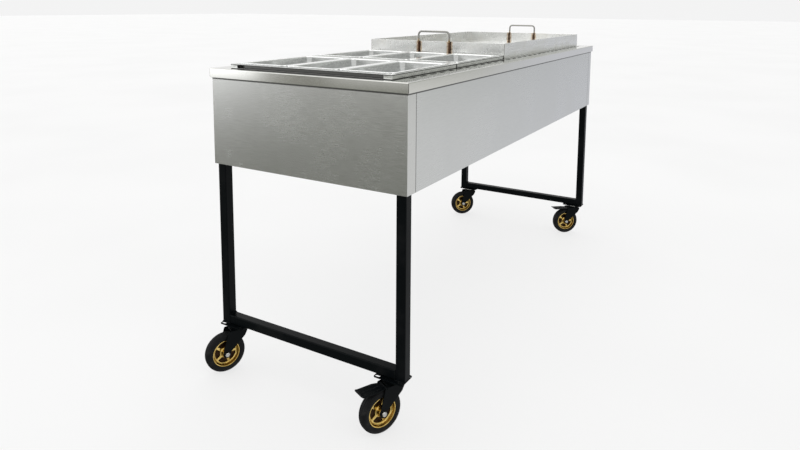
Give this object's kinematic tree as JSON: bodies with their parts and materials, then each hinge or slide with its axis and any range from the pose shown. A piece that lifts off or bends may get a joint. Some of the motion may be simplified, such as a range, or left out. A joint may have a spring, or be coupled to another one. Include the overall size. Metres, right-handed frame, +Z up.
{
  "type": "food service cart",
  "caption": "Stainless food service cart with steam wells, food pans and a lift-off griddle tray on black swivel casters",
  "frame": {"origin": "bottom centre of the bounding box, on the floor that the wheels stand on", "axes": "+X along the cart from the steam wells to the griddle, +Y towards the side with the gas knobs, +Z up"},
  "size_m": [1.8484, 0.686, 1.0067],
  "materials": {
    "stainless": "satin, grain along each panel",
    "bright_stainless": "bright, fine grain",
    "black_paint": "semi-gloss black",
    "rubber": "matt black rubber",
    "gold_wheel": "glossy gold",
    "zinc": "bright zinc plate",
    "cast_iron": "rough cast",
    "brass": "dull brass",
    "knob_plastic": "black moulded"
  },
  "bodies": {
    "cart": {"bottom_pan": "stainless", "burner_griddle_1": "cast_iron", "burner_griddle_2": "cast_iron", "burner_well_1": "cast_iron", "burner_well_2": "cast_iron", "caster_plate_far_back": "black_paint", "caster_plate_far_front": "black_paint", "caster_plate_near_back": "black_paint", "caster_plate_near_front": "black_paint", "crossbar_far": "black_paint", "crossbar_near": "black_paint", "end_panel_far": "stainless", "end_panel_near": "stainless", "end_rail_far": "black_paint", "end_rail_near": "black_paint", "gas_manifold": "brass", "leg_far_back": "black_paint", "leg_far_front": "black_paint", "leg_near_back": "black_paint", "leg_near_front": "black_paint", "long_rail_back": "black_paint", "long_rail_front": "black_paint", "side_panel_back": "stainless", "side_panel_front": "stainless", "top_deck": "stainless"},
    "steam_well_1": {"steam_well_1": "bright_stainless"},
    "pan_1": {"pan_1": "bright_stainless"},
    "pan_2": {"pan_2": "bright_stainless"},
    "pan_3": {"pan_3": "bright_stainless"},
    "steam_well_2": {"steam_well_2": "bright_stainless"},
    "pan_4": {"pan_4": "bright_stainless"},
    "pan_5": {"pan_5": "bright_stainless"},
    "pan_6": {"pan_6": "bright_stainless"},
    "griddle_tray": {"griddle_tray": "stainless", "tray_handle_near": "bright_stainless", "tray_handle_far": "bright_stainless"},
    "knob_well_1": {"knob_well_1": "knob_plastic"},
    "knob_well_2": {"knob_well_2": "knob_plastic"},
    "knob_griddle_1": {"knob_griddle_1": "knob_plastic"},
    "knob_griddle_2": {"knob_griddle_2": "knob_plastic"},
    "fork_near_front": {"caster_fork_near_front": "black_paint", "axle_bolt_near_front": "zinc"},
    "wheel_near_front": {"wheel_hub_near_front": "gold_wheel", "tyre_near_front": "rubber"},
    "pedal_near_front": {"brake_pedal_near_front": "black_paint"},
    "fork_near_back": {"caster_fork_near_back": "black_paint", "axle_bolt_near_back": "zinc"},
    "wheel_near_back": {"wheel_hub_near_back": "gold_wheel", "tyre_near_back": "rubber"},
    "fork_far_back": {"caster_fork_far_back": "black_paint", "axle_bolt_far_back": "zinc"},
    "wheel_far_back": {"wheel_hub_far_back": "gold_wheel", "tyre_far_back": "rubber"},
    "fork_far_front": {"caster_fork_far_front": "black_paint", "axle_bolt_far_front": "zinc"},
    "wheel_far_front": {"wheel_hub_far_front": "gold_wheel", "tyre_far_front": "rubber"},
    "pedal_far_front": {"brake_pedal_far_front": "black_paint"}
  },
  "joints": [
    {"name": "well_1_lift", "type": "slide", "parent": "cart", "child": "steam_well_1", "axis": [0, 0, 1], "range_m": [0, 0.2]},
    {"name": "pan_1_lift", "type": "slide", "parent": "steam_well_1", "child": "pan_1", "axis": [0, 0, 1], "range_m": [0, 0.15]},
    {"name": "pan_2_lift", "type": "slide", "parent": "steam_well_1", "child": "pan_2", "axis": [0, 0, 1], "range_m": [0, 0.15]},
    {"name": "pan_3_lift", "type": "slide", "parent": "steam_well_1", "child": "pan_3", "axis": [0, 0, 1], "range_m": [0, 0.15]},
    {"name": "well_2_lift", "type": "slide", "parent": "cart", "child": "steam_well_2", "axis": [0, 0, 1], "range_m": [0, 0.2]},
    {"name": "pan_4_lift", "type": "slide", "parent": "steam_well_2", "child": "pan_4", "axis": [0, 0, 1], "range_m": [0, 0.15]},
    {"name": "pan_5_lift", "type": "slide", "parent": "steam_well_2", "child": "pan_5", "axis": [0, 0, 1], "range_m": [0, 0.15]},
    {"name": "pan_6_lift", "type": "slide", "parent": "steam_well_2", "child": "pan_6", "axis": [0, 0, 1], "range_m": [0, 0.15]},
    {"name": "tray_lift", "type": "slide", "parent": "cart", "child": "griddle_tray", "axis": [0, 0, 1], "range_m": [0, 0.2]},
    {"name": "knob_well_1_turn", "type": "hinge", "parent": "cart", "child": "knob_well_1", "pos_m": [-0.63869, 0.31703, 0.745], "axis": [0, 1, 0], "range_deg": [0, 150]},
    {"name": "knob_well_2_turn", "type": "hinge", "parent": "cart", "child": "knob_well_2", "pos_m": [-0.26529, 0.31703, 0.745], "axis": [0, 1, 0], "range_deg": [0, 150]},
    {"name": "knob_griddle_1_turn", "type": "hinge", "parent": "cart", "child": "knob_griddle_1", "pos_m": [0.17735, 0.31703, 0.745], "axis": [0, 1, 0], "range_deg": [0, 150]},
    {"name": "knob_griddle_2_turn", "type": "hinge", "parent": "cart", "child": "knob_griddle_2", "pos_m": [0.60607, 0.31703, 0.745], "axis": [0, 1, 0], "range_deg": [0, 150]},
    {"name": "swivel_near_front", "type": "hinge", "parent": "cart", "child": "fork_near_front", "pos_m": [-0.81929, -0.28707, 0.1316], "axis": [0, 0, 1], "continuous": true},
    {"name": "roll_near_front", "type": "hinge", "parent": "fork_near_front", "child": "wheel_near_front", "pos_m": [-0.8554, -0.26985, 0.0594], "axis": [-0.4305, -0.9026, 0], "continuous": true},
    {"name": "brake_near_front", "type": "hinge", "parent": "fork_near_front", "child": "pedal_near_front", "pos_m": [-0.84547, -0.27458, 0.1223], "axis": [-0.4305, -0.9026, 0], "range_deg": [0, 7]},
    {"name": "swivel_near_back", "type": "hinge", "parent": "cart", "child": "fork_near_back", "pos_m": [-0.81929, 0.26313, 0.1316], "axis": [0, 0, 1], "continuous": true},
    {"name": "roll_near_back", "type": "hinge", "parent": "fork_near_back", "child": "wheel_near_back", "pos_m": [-0.85534, 0.28048, 0.0594], "axis": [-0.4337, -0.9011, 0], "continuous": true},
    {"name": "swivel_far_back", "type": "hinge", "parent": "cart", "child": "fork_far_back", "pos_m": [0.89491, 0.26313, 0.1316], "axis": [0, 0, 1], "continuous": true},
    {"name": "roll_far_back", "type": "hinge", "parent": "fork_far_back", "child": "wheel_far_back", "pos_m": [0.8683, 0.293, 0.0594], "axis": [-0.7466, -0.6652, 0], "continuous": true},
    {"name": "swivel_far_front", "type": "hinge", "parent": "cart", "child": "fork_far_front", "pos_m": [0.89491, -0.28707, 0.1316], "axis": [0, 0, 1], "continuous": true},
    {"name": "roll_far_front", "type": "hinge", "parent": "fork_far_front", "child": "wheel_far_front", "pos_m": [0.8692, -0.25643, 0.0594], "axis": [-0.766, -0.6428, 0], "continuous": true},
    {"name": "brake_far_front", "type": "hinge", "parent": "fork_far_front", "child": "pedal_far_front", "pos_m": [0.87627, -0.26485, 0.1223], "axis": [-0.766, -0.6428, 0], "range_deg": [0, 7]}
  ]
}
